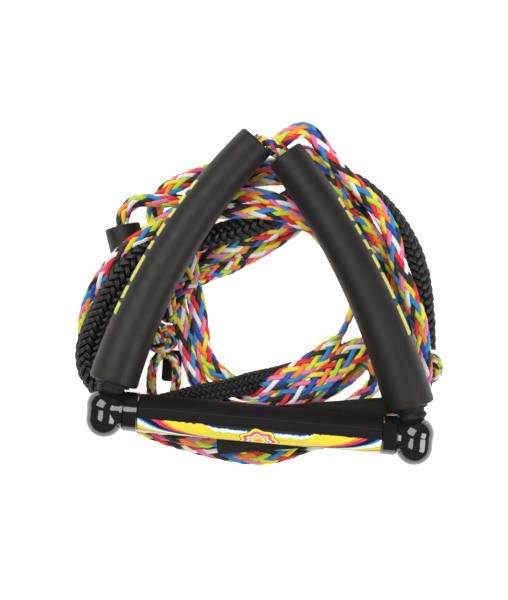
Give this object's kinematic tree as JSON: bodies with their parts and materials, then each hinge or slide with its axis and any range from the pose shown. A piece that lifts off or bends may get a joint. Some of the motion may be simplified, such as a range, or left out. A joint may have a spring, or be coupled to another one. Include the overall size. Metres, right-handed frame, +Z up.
{
  "type": "tow rope handle",
  "caption": "Short foam-grip tow handle with glossy end caps, a foam-covered bridle and its braided rope coiled flat beneath it.",
  "frame": {"origin": "on the floor below the middle of the handle, without its cords", "axes": "+X along the grip, +Y from the grip to the bridle's apex, +Z up"},
  "size_m": [0.2869, 0.2674, 0.0727],
  "materials": {
    "aluminium_tube": "satin",
    "grip_foam": "matt, printed lower half",
    "plastic_bush": "matt",
    "cap_rubber": "high gloss",
    "ring_rubber": "matt",
    "float_foam": "satin",
    "colour_braid": "multicolour braid",
    "black_braid": "coarse braid",
    "ribbed_braid": "fine braid",
    "strap_webbing": "woven",
    "hook_tape": "hook tape"
  },
  "bodies": {
    "coil": {"rope_coil": "colour_braid", "rope_lead": "colour_braid", "bridle_splice": "colour_braid", "grab_rope": "black_braid", "ribbed_rope": "ribbed_braid", "grab_knot": "colour_braid", "boat_end_rope": "colour_braid", "boat_end_knot": "colour_braid", "boat_end_loop": "colour_braid", "tie_strap": "strap_webbing", "strap_hook_patch": "hook_tape", "strap_tail": "strap_webbing"},
    "arms": {"bridle_leg_left": "colour_braid", "bridle_leg_right": "colour_braid", "arm_float_left": "float_foam", "arm_float_right": "float_foam", "stop_ring_left": "ring_rubber", "stop_ring_right": "ring_rubber"},
    "bar": {"core_tube": "aluminium_tube", "grip_sleeve": "grip_foam", "tube_bush_left": "plastic_bush", "tube_bush_right": "plastic_bush", "end_cap_left": "cap_rubber", "end_cap_right": "cap_rubber", "bridle_bar_rope": "colour_braid"},
    "boat_float": {"boat_end_float": "float_foam"}
  },
  "joints": [
    {"name": "handle_lift", "type": "hinge", "parent": "coil", "child": "arms", "pos_m": [0, 0.118, 0.054], "axis": [-1, 0, 0], "range_deg": [0, 45]},
    {"name": "bar_fold", "type": "hinge", "parent": "arms", "child": "bar", "pos_m": [0, -0.0835, 0.054], "axis": [-1, 0, 0], "range_deg": [0, 20]},
    {"name": "boat_float_slide", "type": "slide", "parent": "coil", "child": "boat_float", "axis": [0.3201, -0.9474, 0], "range_m": [0, 0.007]}
  ]
}
